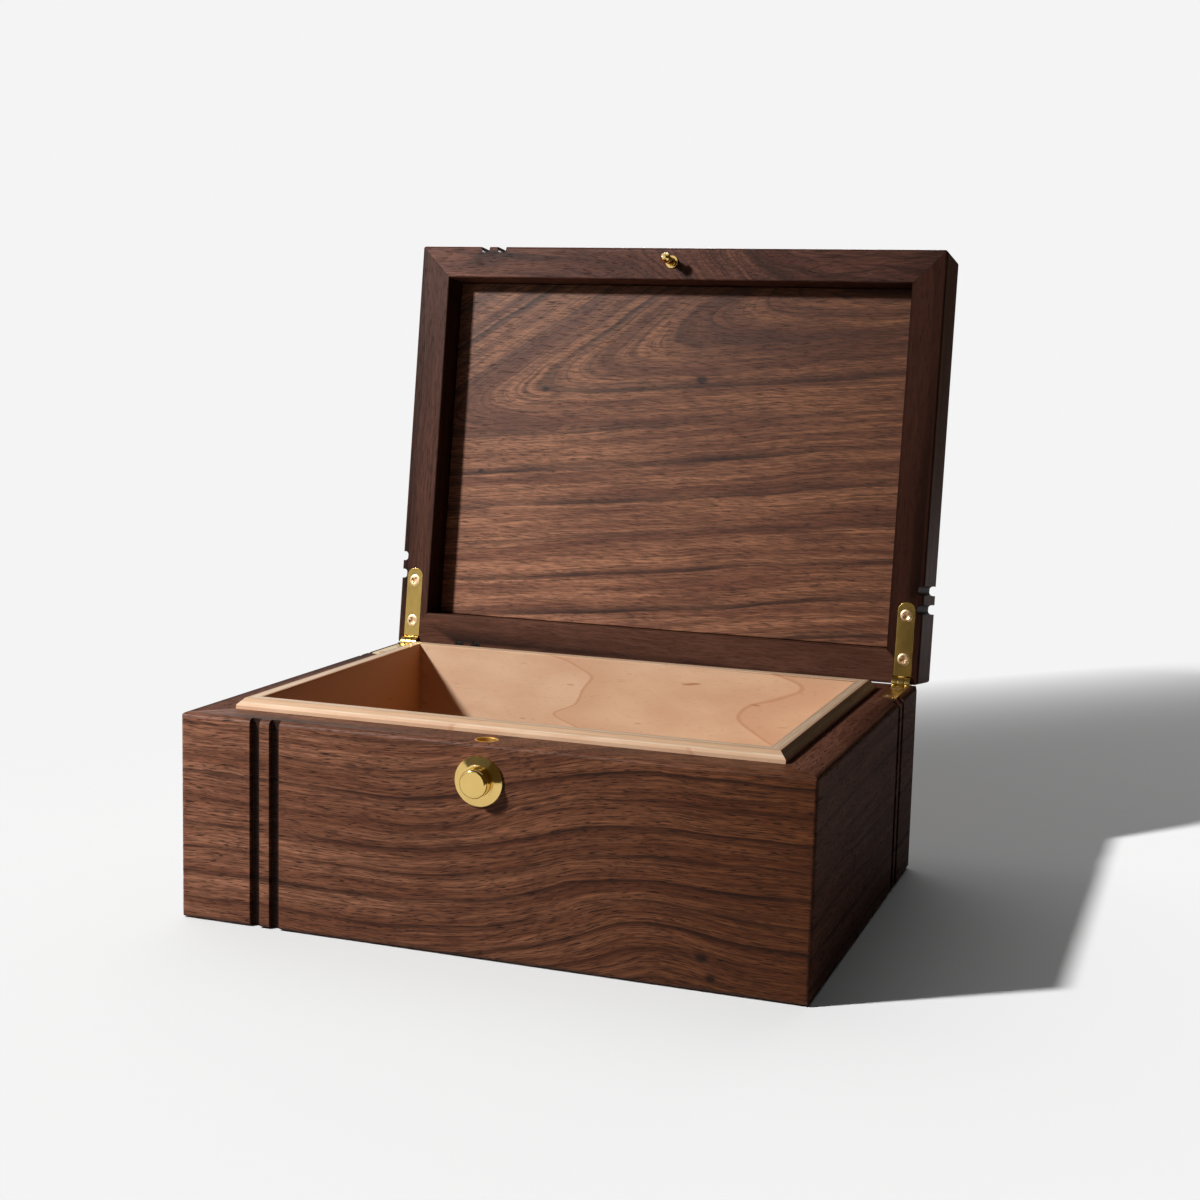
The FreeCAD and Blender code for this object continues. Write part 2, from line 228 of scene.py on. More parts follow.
def oiled_walnut(name, light, mid, sheen, streaks, pores, ring_width, first_ring, pith_across, pith_depth,
                 slope=0, taper=0, rise=(0, 1, 0), humps=(), knots=(), shade_tints=()):
    """Black walnut, planed and oiled. It gives the eye brown bands with dark lines where one year's
    growth ends, fine open pores that show as dark dashes along the grain, and a low sheen.
    Board places are in millimetres. A rise is its start and end along the board and its climb; a hump is its
    place, its reach both ways and its height; a knot is its place and size; a shade tint paints shade: it is
    the axis that it runs along, where it starts, where it is full, and its colour."""
    material, tree, shader = new_finish(name, {"IOR": 1.47, "Specular IOR Level": sheen})
    place = add(tree, "Attribute", {}, attribute_name="board").outputs["Vector"]
    axes = add(tree, "SeparateXYZ", {0: place}).outputs
    along = axes[ALONG]

    # The grain wanders slowly along the board, and a little more often near its figure
    bent = place
    for size, detail, reach in (((190, 75, 75), 1, 9), ((42, 17, 17), 2, 3.5)):
        wander = drawn_noise(tree, place, size, detail).outputs["Color"]
        wander = add(tree, "VectorMath", {0: wander, 1: (0.5, 0.5, 0.5)}, operation="SUBTRACT")
        bent = add(tree, "VectorMath", {0: wander, 1: (0, reach, reach), 2: bent}, operation="MULTIPLY_ADD")

    # It climbs from one end of a rise to the other, and bulges over each hump
    rise_start, rise_end, climb = rise
    lift = add(tree, "MapRange", {0: along, 1: rise_start, 2: rise_end, 3: 0, 4: climb},
               interpolation_type="SMOOTHERSTEP").outputs[0]
    for centre_along, centre_across, reach_along, reach_across, height in humps:
        near = add(tree, "VectorMath", {0: place, 1: (centre_along, centre_across, 0)}, operation="SUBTRACT")
        near = add(tree, "VectorMath", {0: near, 1: (1 / reach_along, 1 / reach_across, 0)},
                   operation="MULTIPLY")
        near = add(tree, "VectorMath", {0: near}, operation="LENGTH").outputs["Value"]
        hump = add(tree, "MapRange", {0: near, 1: 0, 2: 1, 3: height, 4: 0},
                   interpolation_type="SMOOTHERSTEP")
        lift = add(tree, "Math", {0: lift, 1: hump}, operation="ADD").outputs[0]
    lift = add(tree, "CombineXYZ", {1: lift})
    bent = add(tree, "VectorMath", {0: bent, 1: lift}, operation="SUBTRACT")

    # Growth rings about the pith
    split = add(tree, "SeparateXYZ", {0: bent}).outputs
    off_axis = add(tree, "Math", {0: along, 1: -slope, 2: split[1]}, operation="MULTIPLY_ADD")
    off_axis = add(tree, "Math", {0: off_axis, 1: pith_across}, operation="SUBTRACT")
    deep = add(tree, "Math", {0: split[2], 1: pith_depth}, operation="ADD")
    radius = add(tree, "CombineXYZ", {1: off_axis, 2: deep})
    radius = add(tree, "VectorMath", {0: radius}, operation="LENGTH").outputs["Value"]
    radius = add(tree, "Math", {0: along, 1: -taper, 2: radius}, operation="MULTIPLY_ADD")
    grain = add(tree, "CombineXYZ", {0: along, 1: radius})
    year = add(tree, "Math", {0: radius, 1: first_ring}, operation="SUBTRACT")
    year = add(tree, "Math", {0: year, 1: ring_width}, operation="DIVIDE")
    season = add(tree, "Math", {0: year}, operation="FRACT")
    late = add(tree, "MapRange", {0: season, 1: 0.6, 2: 0.96, 3: 0, 4: 1}, interpolation_type="SMOOTHSTEP")
    late = add(tree, "Math", {0: late, 1: 2.4}, operation="POWER")
    early = add(tree, "MapRange", {0: season, 1: 0.96, 2: 1, 3: 1, 4: 0}, interpolation_type="SMOOTHSTEP")
    dense = add(tree, "Math", {0: late, 1: early}, operation="MULTIPLY")
    number = add(tree, "Math", {0: year}, operation="FLOOR")
    good_year = add(tree, "TexWhiteNoise", {"W": number}, noise_dimensions="1D").outputs[0]
    good_year = add(tree, "MapRange", {0: good_year, 1: 0, 2: 1, 3: 0.45, 4: 0.95})
    faint = drawn_noise(tree, grain, (60, 9, 1), 2, "2D")
    faint = add(tree, "MapRange", {0: faint, 1: 0.3, 2: 0.62, 3: 0.4, 4: 1})
    dense = add(tree, "Math", {0: dense, 1: good_year}, operation="MULTIPLY")
    dense = add(tree, "Math", {0: dense, 1: faint}, operation="MULTIPLY")

    # Broad bands, long streaks and hair lines drawn out along the rings, and pores along the board.
    # Pores are about 0.2 mm wide; at 0.32 mm they still show at the render's size
    band = drawn_noise(tree, grain, (125, 5.5, 1), 2, "2D")
    band = add(tree, "MapRange", {0: band, 1: 0.34, 2: 0.66, 3: 0, 4: 1})
    streak = drawn_noise(tree, grain, (58, 1.1, 1), 4, "2D")
    streak = add(tree, "MapRange", {0: streak, 1: 0.45, 2: 0.72, 3: 0, 4: streaks})
    hair = drawn_noise(tree, grain, (30, 0.42, 1), 1, "2D")
    hair = add(tree, "MapRange", {0: hair, 1: 0.48, 2: 0.72, 3: 0, 4: streaks})
    pore = drawn_noise(tree, bent, (5.5, 0.32, 0.32), 1)
    pore = add(tree, "MapRange", {0: pore, 1: 0.56, 2: 0.68, 3: 0, 4: pores})
    fibre = drawn_noise(tree, bent, (8, 0.9, 0.9), 2)
    fibre = add(tree, "MapRange", {0: fibre, 1: 0.38, 2: 0.68, 3: 0, 4: 0.6})

    body = add(tree, "MixRGB", {0: band, 1: colour(mid), 2: colour(light)})
    for share, shade in ((fibre, "#56352a"), (streak, "#4f2f22"), (hair, "#4a2b1f"), (dense, "#2e1a14"),
                         (pore, "#26150f")):
        body = add(tree, "MixRGB", {0: share, 1: body, 2: colour(shade)})
    # Painted shade: each shade tint darkens the colour along an axis, where light falls less
    for axis, start, end, tint in shade_tints:
        share = add(tree, "MapRange", {0: axes[axis], 1: start, 2: end, 3: 0, 4: 1})
        body = add(tree, "MixRGB", {0: share, 1: body, 2: colour(tint)}, blend_type="MULTIPLY")
    for knot_along, knot_across, knot_size in knots:
        # A knot is drawn out along the grain
        near = add(tree, "VectorMath", {0: place, 1: (knot_along, knot_across, 0)}, operation="SUBTRACT")
        near = add(tree, "VectorMath", {0: near, 1: (0.7 / knot_size, 1 / knot_size, 0)},
                   operation="MULTIPLY")
        near = add(tree, "VectorMath", {0: near}, operation="LENGTH").outputs["Value"]
        knot = add(tree, "MapRange", {0: near, 1: 0.25, 2: 1, 3: 0.9, 4: 0},
                   interpolation_type="SMOOTHSTEP")
        body = add(tree, "MixRGB", {0: knot, 1: body, 2: colour("#1d110d")})

    # Painted shade: the grooves darken towards their floors, for the shade that falls in them
    groove = add(tree, "Attribute", {}, attribute_name="groove").outputs["Fac"]
    groove = add(tree, "MapRange", {0: groove, 1: 0.2, 2: 1, 3: 0, 4: 0.85})
    body = add(tree, "MixRGB", {0: groove, 1: body, 2: colour("#140b08")})

    # Pores and streaks are a little lower and duller than the rest
    gloss = add(tree, "MapRange", {0: pore, 1: 0, 2: 1, 3: 0.46, 4: 0.75})
    height = add(tree, "Math", {0: pore, 1: -1}, operation="MULTIPLY")
    height = add(tree, "Math", {0: streak, 1: -0.25, 2: height}, operation="MULTIPLY_ADD")
    relief = add(tree, "Bump", {"Height": height, "Strength": 0.4, "Distance": 0.06 * MM})
    tree.links.new(body.outputs[0], shader.inputs["Base Color"])
    tree.links.new(gloss.outputs[0], shader.inputs["Roughness"])
    tree.links.new(relief.outputs[0], shader.inputs["Normal"])
    return material


def maple_ply(name, pale):
    """Maple-faced plywood, sanded and sealed. It gives the eye a pale face with a few long red-brown
    lines and small flecks, and on its edges the thin bands of the plies."""
    material, tree, shader = new_finish(name, {"IOR": 1.5, "Specular IOR Level": 0.3})
    place = add(tree, "Attribute", {}, attribute_name="board").outputs["Vector"]
    axes = add(tree, "SeparateXYZ", {0: place}).outputs

    # The peeled face cuts the growth rings as a few long lines that wind across the board, each with a wash
    line_spacing = 96
    wave_share = 1.3
    all_through = 1e6
    wave = drawn_noise(tree, place, (120, 19, all_through), 1).outputs[0]
    wave = add(tree, "Math", {0: wave, 1: wave_share}, operation="MULTIPLY")
    contour = add(tree, "Math", {0: axes[ALONG], 1: 1 / line_spacing, 2: wave}, operation="MULTIPLY_ADD")
    step = add(tree, "Math", {0: contour}, operation="FRACT")
    line = add(tree, "MapRange", {0: step, 1: 0.93, 2: 0.975, 3: 0, 4: 0.6},
               interpolation_type="SMOOTHSTEP")
    wash = add(tree, "MapRange", {0: step, 1: 0.45, 2: 0.96, 3: 0, 4: 0.34},
               interpolation_type="SMOOTHSTEP")
    edge = add(tree, "Math", {0: line, 1: wash}, operation="MAXIMUM")
    fall = add(tree, "MapRange", {0: step, 1: 0.975, 2: 1, 3: 1, 4: 0}, interpolation_type="SMOOTHSTEP")
    edge = add(tree, "Math", {0: edge, 1: fall}, operation="MULTIPLY")

    # Faint cloudy patches, as a peeled sheet takes the sealer unevenly, and flecks and a few scars
    cloud = drawn_noise(tree, place, (30, 11, 11), 2)
    cloud = add(tree, "MapRange", {0: cloud, 1: 0.35, 2: 0.7, 3: 0, 4: 0.3})
    edge = add(tree, "Math", {0: edge, 1: cloud}, operation="MAXIMUM")
    fleck = drawn_noise(tree, place, (3.4, 0.8, 0.8), 1)
    fleck = add(tree, "MapRange", {0: fleck, 1: 0.58, 2: 0.8, 3: 0, 4: 0.3})
    scar = drawn_noise(tree, place, (14, 2.6, 2.6), 1)
    scar = add(tree, "MapRange", {0: scar, 1: 0.7, 2: 0.78, 3: 0, 4: 0.7})
    face = add(tree, "MixRGB", {0: edge, 1: colour(pale), 2: colour("#bd7f59")})
    face = add(tree, "MixRGB", {0: fleck, 1: face, 2: colour("#c08f6c")})
    face = add(tree, "MixRGB", {0: scar, 1: face, 2: colour("#a9683f")})

    # Below the face the plies alternate, long grain and end grain
    depth = axes[INWARD]
    layer = add(tree, "Math", {0: depth, 1: ply_thickness}, operation="DIVIDE")
    layer = add(tree, "Math", {0: layer, 1: 2}, operation="PINGPONG")
    layer = add(tree, "MapRange", {0: layer, 1: 0.85, 2: 1.15, 3: 0, 4: 1}, interpolation_type="SMOOTHSTEP")
    fibre = drawn_noise(tree, place, (14, 0.6, 0.45), 2)
    fibre = add(tree, "MapRange", {0: fibre, 1: 0.4, 2: 0.7, 3: 0, 4: 0.5})
    core = add(tree, "MixRGB", {0: layer, 1: colour("#e6ccae"), 2: colour("#d3ad8b")})
    core = add(tree, "MixRGB", {0: fibre, 1: core, 2: colour("#b98d66")})
    near_face, far_face = ply_faces
    glue_line = 0.1
    inside = add(tree, "MapRange", {0: depth, 1: near_face, 2: near_face + glue_line, 3: 0, 4: 1})
    outside = add(tree, "MapRange", {0: depth, 1: far_face - glue_line, 2: far_face, 3: 1, 4: 0})
    within = add(tree, "Math", {0: inside, 1: outside}, operation="MULTIPLY")
    body = add(tree, "MixRGB", {0: within, 1: face, 2: core})
    gloss = add(tree, "MapRange", {0: fleck, 1: 0, 2: 0.3, 3: 0.48, 4: 0.6})
    relief = add(tree, "Bump", {"Height": fibre, "Strength": 0.25, "Distance": 0.05 * MM})
    tree.links.new(body.outputs[0], shader.inputs["Base Color"])
    tree.links.new(gloss.outputs[0], shader.inputs["Roughness"])
    tree.links.new(relief.outputs[0], shader.inputs["Normal"])
    return material


def polished_brass(name, bright, dull, roughness, mark_size, mark_depth):
    """Yellow brass, machined and polished. It gives the eye a warm mirror with faint tool marks and
    slightly duller patches where fingers and polish have left it. Tool marks are some hundredths of a
    millimetre wide; here they have the size in millimetres at which they still show in the render."""
    material, tree, shader = new_finish(name, {"Metallic": 1})
    place = add(tree, "TexCoord", {}).outputs["Object"]
    smear = add(tree, "TexNoise", {"Vector": place, "Scale": 1 / (6 * MM), "Detail": 3}).outputs[0]
    gloss = add(tree, "MapRange", {0: smear, 1: 0.3, 2: 0.75, 3: roughness, 4: roughness * 1.35})
    tint = add(tree, "MapRange", {0: smear, 1: 0.35, 2: 0.7, 3: 0, 4: 0.5})
    body = add(tree, "MixRGB", {0: tint, 1: colour(bright), 2: colour(dull)})
    marks = add(tree, "Mapping", {0: place, "Scale": [1 / (side * MM) for side in mark_size]})
    marks = add(tree, "TexNoise", {"Vector": marks, "Scale": 1, "Detail": 2}).outputs[0]
    relief = add(tree, "Bump", {"Height": marks, "Strength": 0.3, "Distance": mark_depth * MM})
    tree.links.new(body.outputs[0], shader.inputs["Base Color"])
    tree.links.new(gloss.outputs[0], shader.inputs["Roughness"])
    tree.links.new(relief.outputs[0], shader.inputs["Normal"])
    return material


def drawn_steel(name):
    """Spring steel wire, drawn and left bright. It gives the eye a grey metal with fine brighter specks."""
    material, tree, shader = new_finish(name, {"Metallic": 1})
    place = add(tree, "TexCoord", {}).outputs["Object"]
    specks = add(tree, "TexNoise", {"Vector": place, "Scale": 1 / (0.3 * MM), "Detail": 2}).outputs[0]
    body = add(tree, "MixRGB", {0: specks, 1: colour("#9c9fa3"), 2: colour("#c3c6c9")})
    gloss = add(tree, "MapRange", {0: specks, 1: 0.3, 2: 0.7, 3: 0.25, 4: 0.4})
    tree.links.new(body.outputs[0], shader.inputs["Base Color"])
    tree.links.new(gloss.outputs[0], shader.inputs["Roughness"])
    return material


def groove_share(point):
    """How far down in a groove a place in the shut box lies, from 0 on a face to 1 on a floor."""
    x, y, z = point / MM
    share = 0
    for place, starts, reach in ((x, left_grooves, half_depth - abs(y)),
                                 (y, back_grooves, half_width - abs(x))):
        down = min(reach, lid_top - z) / groove_depth
        inside = any(-groove_slack < place - start < groove_width + groove_slack for start in starts)
        if inside and down < 1 + groove_slack:
            share = max(share, min(down, 1))
    return share


def eased_copy(node, name, ease, mitred=None):
    """A copy of a CAD node with its faces joined and its sharp edges eased, so that they catch the light.
    A mitred board is given with how it lies when shut: its mitres stay sharp, so that they close, and its
    grooves get round floors."""
    source = frame["nodes"][node].data
    shape = bmesh.new()
    corners = [shape.verts.new(vertex.co) for vertex in source.vertices]
    for polygon in source.polygons:
        shape.faces.new([corners[i] for i in polygon.vertices])
    bmesh.ops.remove_doubles(shape, verts=shape.verts, dist=seam_reach * MM)
    bmesh.ops.dissolve_limit(shape, angle_limit=flat_angle, verts=shape.verts, edges=shape.edges)
    shape.normal_update()

    def on_mitre(face):
        if mitred is None:
            return False
        normal = mitred.to_3x3() @ face.normal
        return abs(abs(normal.x) - abs(normal.y)) < mitre_slack and abs(normal.z) < mitre_slack

    # A round-nosed cutter leaves the grooves with round floors
    if mitred is not None:
        nearly_all = 0.99
        floors = {face for face in shape.faces
                  if groove_share(mitred @ face.calc_center_median()) > nearly_all}
        floor_edges = [edge for edge in shape.edges if edge.is_manifold and not edge.is_convex
                       and edge.calc_face_angle() > sharp_angle and not floors.isdisjoint(edge.link_faces)]
        bmesh.ops.bevel(shape, geom=floor_edges, offset=groove_floor_radius * MM, segments=groove_floor_steps,
                        profile=0.5, affect="EDGES", clamp_overlap=True)
        shape.normal_update()

    eased = [edge for edge in shape.edges if edge.is_manifold and edge.calc_face_angle() > eased_angle
             and not any(on_mitre(face) for face in edge.link_faces)]
    bmesh.ops.bevel(shape, geom=eased, offset=ease * MM, segments=ease_steps, profile=0.5, affect="EDGES",
                    clamp_overlap=True)
    return finished_mesh(shape, name)


def finished_mesh(shape, name):
    """An object from a bmesh, smooth but for its sharp edges, with its flats kept flat."""
    mesh = bpy.data.meshes.new(name)
    bmesh.ops.recalc_face_normals(shape, faces=shape.faces)
    shape.to_mesh(mesh)
    shape.free()
    mesh.shade_smooth()
    mesh.set_sharp_from_angle(angle=sharp_angle)
    piece = bpy.data.objects.new(name, mesh)
    bpy.context.scene.collection.objects.link(piece)
    normals = piece.modifiers.new("flats", "WEIGHTED_NORMAL")
    normals.keep_sharp = True
    return piece


def fit(piece, material, slot, body, *nodes):
    """Gives a piece its finish, and has it ride on a body in place of CAD nodes."""
    piece.data.materials.append(material)
    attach(piece, body)
    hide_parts(*nodes)
    return piece


def mark_board(piece, along, across, inward, start, shut):
    """Stores where each point lies in its board: along the grain, across it and in from the face."""
    axes = Matrix((along, across, inward)).to_4x4()
    to_board = Matrix.Translation(start) @ axes @ Matrix.Scale(1 / MM, 4) @ shut
    marks = piece.data.attributes.new("board", "FLOAT_VECTOR", "POINT")
    for vertex, mark in zip(piece.data.vertices, marks.data):
        mark.vector = to_board @ vertex.co


def mark_grooves(piece, shut):
    """Stores how far down in a groove each point lies, from 0 on a face to 1 on a floor, by which the walnut
    paints shade in the grooves.
    """
    marks = piece.data.attributes.new("groove", "FLOAT", "POINT")
    for vertex, mark in zip(piece.data.vertices, marks.data):
        mark.value = groove_share(shut @ vertex.co)


def turned_rings(shape, profile, segments, place):
    """Rings of points round an axis from (radius, distance along) points, joined into a skin."""
    rings = []
    for radius, along in profile:
        turns = [2 * math.pi * i / segments for i in range(segments)]
        rings.append([shape.verts.new(place @ Vector((radius * math.cos(t), radius * math.sin(t), along)))
                      for t in turns])
    for near, far in zip(rings, rings[1:]):
        for i in range(segments):
            shape.faces.new([near[i - 1], near[i], far[i], far[i - 1]])
    return rings


def countersunk_screw(shape, place, turn):
    """A countersunk wood screw with a crossed recess, its face towards +Z of its place."""
    profile = [
        (screw_face_radius, screw_face_proud),
        (screw_brow_radius, screw_brow_proud),
        (screw_head_radius, 0),
        (screw_head_radius, -screw_head_land),
        (screw_shank_radius, -screw_head_depth),
        (screw_shank_radius, -screw_length * screw_straight_share),
        (screw_tip_radius, -screw_length),
    ]
    rings = turned_rings(shape, profile, screw_sides, place)
    shape.faces.new(rings[-1])
    a, b = screw_arm, screw_arm_half_width
    cross = [(a, -b), (a, b), (b, b), (b, a), (-b, a), (-b, b),
             (-a, b), (-a, -b), (-b, -b), (-b, -a), (b, -a), (b, -b)]
    turned = place @ Matrix.Rotation(math.radians(turn), 4, "Z")
    mouth = [shape.verts.new(turned @ Vector((x, y, screw_face_proud))) for x, y in cross]
    narrow = screw_recess_floor
    floor = [shape.verts.new(turned @ Vector((x * narrow, y * narrow, -screw_recess_depth)))
             for x, y in cross]
    for i in range(len(cross)):
        shape.faces.new([mouth[i - 1], mouth[i], floor[i], floor[i - 1]])
    shape.faces.new(floor)
    loops = []
    for loop in (rings[0], mouth):
        for i in range(len(loop)):
            loops.append(shape.edges.get((loop[i - 1], loop[i])))
    bmesh.ops.triangle_fill(shape, edges=loops, use_beauty=True)


def hinge_screws(name, height, facing, opened):
    """The four screws of one leaf on each side, in one piece."""
    shape = bmesh.new()
    places = [(x, half_depth - along) for x in (hinge_inset - half_width, half_width - hinge_inset)
              for along in screws_from_pin]
    for (x, y), turn in zip(places, screw_turns):
        stand = Z.rotation_difference(facing).to_matrix().to_4x4()
        stand = Matrix.Translation(Vector((x, y, height)) * MM) @ stand
        countersunk_screw(shape, opened @ stand @ Matrix.Scale(MM, 4), turn)
    return finished_mesh(shape, name)


def push_button(name):
    """The turned button with its rounded edge."""
    length = button_back - button_face
    profile = [(button_centre, 0), (button_radius * button_ring_share, 0)]
    for i in range(button_round_steps + 1):
        angle = math.pi / 2 * i / button_round_steps
        profile.append((button_radius - button_round * (1 - math.sin(angle)),
                        button_round * (1 - math.cos(angle))))
    profile.append((button_radius, length))
    profile.append((button_centre, length))
    shape = bmesh.new()
    place = Matrix.Translation(Vector((0, button_face, latch_height)) * MM)
    place = place @ Z.rotation_difference(Y).to_matrix().to_4x4() @ Matrix.Scale(MM, 4)
    rings = turned_rings(shape, profile, button_sides, place)
    shape.faces.new(rings[0])
    shape.faces.new(rings[-1])
    return finished_mesh(shape, name)


def wound_spring(name):
    """The return spring, wound from round wire with a closed turn at each end."""
    shape = bmesh.new()
    total = spring_turns * spring_steps_per_turn
    first = spring_front + spring_wire_radius
    last = spring_rear - spring_wire_radius
    rings = []
    for i in range(total + 1):
        turn = 2 * math.pi * i / spring_steps_per_turn
        share = min(max((i / total - spring_closed_share) / (1 - 2 * spring_closed_share), 0), 1)
        centre = Vector((spring_coil_radius * math.cos(turn), first + (last - first) * share,
                         spring_axis_height + spring_coil_radius * math.sin(turn)))
        outward = Vector((math.cos(turn), 0, math.sin(turn)))
        ring = []
        for k in range(spring_wire_sides):
            angle = 2 * math.pi * k / spring_wire_sides
            point = centre + spring_wire_radius * (outward * math.cos(angle) + Y * math.sin(angle))
            ring.append(shape.verts.new(point * MM))
        rings.append(ring)
    for near, far in zip(rings, rings[1:]):
        for k in range(spring_wire_sides):
            shape.faces.new([near[k - 1], near[k], far[k], far[k - 1]])
    shape.faces.new(rings[0])
    shape.faces.new(rings[-1])
    return finished_mesh(shape, name)


def edge_at(line, height):
    """A line of floor places in millimetres, raised to a height."""
    return [Vector((x * MM, y * MM, height)) for x, y in line]


def studio_cloth(name, low_edge, high_edge, tone):
    """A sheet between two edges that glows at one plain tone, painted light rather than lit cloth, and that
    only
    the polished pieces mirror: it stands in for the dim studio round the box.
    """
    shape = bmesh.new()
    rows = [[shape.verts.new(point) for point in edge] for edge in (low_edge, high_edge)]
    for i in range(1, len(low_edge)):
        shape.faces.new([rows[0][i - 1], rows[0][i], rows[1][i], rows[1][i - 1]])
    cloth = finished_mesh(shape, name)
    cloth.visible_camera = False
    cloth.visible_diffuse = False
    cloth.visible_shadow = False
    cloth.visible_transmission = False
    cloth_glow = bpy.data.materials.new(name)
    tree = bare_tree(cloth_glow)
    plain = add(tree, "Emission", {"Color": colour(tone)})
    add(tree, "OutputMaterial", {"Surface": plain})
    cloth.data.materials.append(cloth_glow)
    return cloth


def point_lamp(name, place, power, radius):
    """A round lamp at a place."""
    lamp = bpy.data.objects.new(name, bpy.data.lights.new(name, "POINT"))
    lamp.location = place
    lamp.data.energy = power
    lamp.data.shadow_soft_size = radius
    return lamp


# How the lid's pieces lie when it is shut, and back
lid_joint = next(joint for joint in frame["joints"] if joint["name"] == "lid_hinge")
hinge_point = Vector(lid_joint["pos_m"])
lid_swing = Matrix.Rotation(math.radians(lid_joint["range_deg"][1]), 4, "X")
shut_lid = Matrix.Translation(hinge_point) @ lid_swing @ Matrix.Translation(-hinge_point)
open_lid = shut_lid.inverted()
as_it_is = Matrix.Identity(4)

# Finishes
front_figure = {
    "ring_width": 9.7, "first_ring": 6.9, "pith_across": -140, "pith_depth": 25, "rise": (-45, 80, 19),
    "humps": [(72, 18, 36, 34, 4), (18, 18, 42, 34, -2)], "knots": [(87.2, 12.5, 2.6), (90.8, 5.4, 2.0)]}
panel_figure = {
    "ring_width": 17, "first_ring": 11, "pith_across": 58, "pith_depth": 12, "slope": 0.36, "taper": 0.26,
    "knots": [(-64, 30.5, 2.2), (14, 37, 3.0), (-95, -10.5, 1.5)]}
side_figure = {"ring_width": 10, "first_ring": 0, "pith_across": -120, "pith_depth": 80}
end_to_end = (ALONG, -half_width, half_width)
# Painted shade, partly: the front darkens towards its right end, for the lamp's fall-off and the board's own
# tone
front_walnut = oiled_walnut(
    "walnut_front_board", "#b47c60", "#8a5841", sheen=0.15, streaks=0.6, pores=0.9, **front_figure,
    shade_tints=[(*end_to_end, "#ae987a")])
# Painted shade: the panel darkens towards its right end and towards the edge that is uppermost when the lid
# stands open
panel_walnut = oiled_walnut(
    "walnut_lid_panel", "#c38969", "#8a5944", sheen=0.2, streaks=0.5, pores=0.65, **panel_figure,
    shade_tints=[(ACROSS, -75, 75, "#bcb5ac"), (*end_to_end, "#ded4c8")])
wall_walnut = oiled_walnut(
    "walnut_side_and_back_walls", "#7a5140", "#5f3b2d", sheen=0.01, streaks=0.45, pores=0.8, **side_figure)

# The lid is sawn from the walls, so its rails carry on their grain. Painted shade: the rim and inside faces
# are darkened, the front rail darkens towards its right end, and the right rail is darker all over, for how
# dimly they are lit
tint_from, tint_full = 1.2, 0.2
shaded_rim = (ACROSS, rim_low + tint_from, rim_low + tint_full)
shaded_inside = (INWARD, rail_width - tint_from, rail_width - tint_full)
rail_walnut = {
    "front": oiled_walnut(
        "walnut_lid_front_rail", "#b47c60", "#8a5841", sheen=0.1, streaks=0.6, pores=0.6, **front_figure,
        shade_tints=[(*end_to_end, "#928a88"), (*shaded_rim, "#cbc6ce"), (*shaded_inside, "#cbc6ce")]),
    "back": oiled_walnut(
        "walnut_lid_back_rail", "#7a5140", "#5f3b2d", sheen=0.08, streaks=0.45, pores=0.5, **side_figure,
        shade_tints=[(*shaded_rim, "#e2dedb")]),
    "left": oiled_walnut(
        "walnut_lid_left_rail", "#7a5140", "#5f3b2d", sheen=0.08, streaks=0.45, pores=0.5, **side_figure,
        shade_tints=[(*shaded_rim, "#b9b5b7"), (*shaded_inside, "#8f8f8f")]),
    "right": oiled_walnut(
        "walnut_lid_right_rail", "#5a3a2d", "#452a20", sheen=0.02, streaks=0.45, pores=0.5, **side_figure,
        shade_tints=[(*shaded_rim, "#b6b2b4"), (*shaded_inside, "#b6b2b4")]),
}
maple = maple_ply("maple_faced_ply", "#e5c09e")
# Painted shade: the left liner board takes a darker, warmer copy of the maple, for the shade and warm bounce
# it lies in
shaded_maple = maple_ply("maple_faced_ply_shaded", "#be824e")
leaf_brass = polished_brass("brass_rolled_and_polished", "#d4b368", "#caa557", roughness=0.2,
                            mark_size=(10 / 9, 50 / 3, 50 / 3), mark_depth=0.01)
screw_brass = polished_brass("brass_pressed_screw_heads", "#e3c49c", "#d8b487", roughness=0.3,
                             mark_size=(2, 2, 2), mark_depth=0.01)
turned_brass = polished_brass("brass_turned_and_polished", "#e3c279", "#dab568", roughness=0.1,
                              mark_size=(10 / 7, 10 / 7, 10 / 7), mark_depth=0.004)
sleeve_brass = polished_brass("brass_sleeve_reamed", "#dcae5c", "#d19f4c", roughness=0.5,
                              mark_size=(10 / 7, 10 / 7, 10 / 7), mark_depth=0.01)
steel = drawn_steel("spring_steel_wire")

# Boards: along the grain, inwards from the outside face, and how far out that face lies
SIDES = {
    "front": (X, Y, half_depth),
    "right": (Y, -X, half_width),
    "back": (-X, -Y, half_depth),
    "left": (-Y, X, half_width),
}
# Boards of one figure lie this far apart in it, so that no two look alike. The front has its own figure
stagger = 640
liner_start = 10 * stagger
bottom_start = 15 * stagger
for number, (side, (along, inward, reach)) in enumerate(SIDES.items()):
    own = front_walnut if side == "front" else wall_walnut
    shift = 0 if side == "front" else stagger * number
    wall = eased_copy(f"base_{side}", f"wall_{side}", board_ease, as_it_is)
    mark_board(wall, along, Z, inward, (shift, 0, reach), as_it_is)
    mark_grooves(wall, as_it_is)
    fit(wall, own, "walnut", "base", f"base_{side}")
    rail = eased_copy(f"lid_{side}_rail", f"lid_rail_{side}", board_ease, shut_lid)
    mark_board(rail, along, Z, inward, (shift, 0, reach), shut_lid)
    mark_grooves(rail, shut_lid)
    fit(rail, rail_walnut[side], "walnut", "lid", f"lid_{side}_rail")
    liner = eased_copy(f"liner_{side}", f"liner_board_{side}", liner_ease, as_it_is)
    mark_board(liner, along, Z, inward, (liner_start + stagger * number, 0, reach - wall_thickness), as_it_is)
    fit(liner, shaded_maple if side == "left" else maple, "maple", "base", f"liner_{side}")
panel = eased_copy("lid_panel", "lid_panel_board", board_ease)
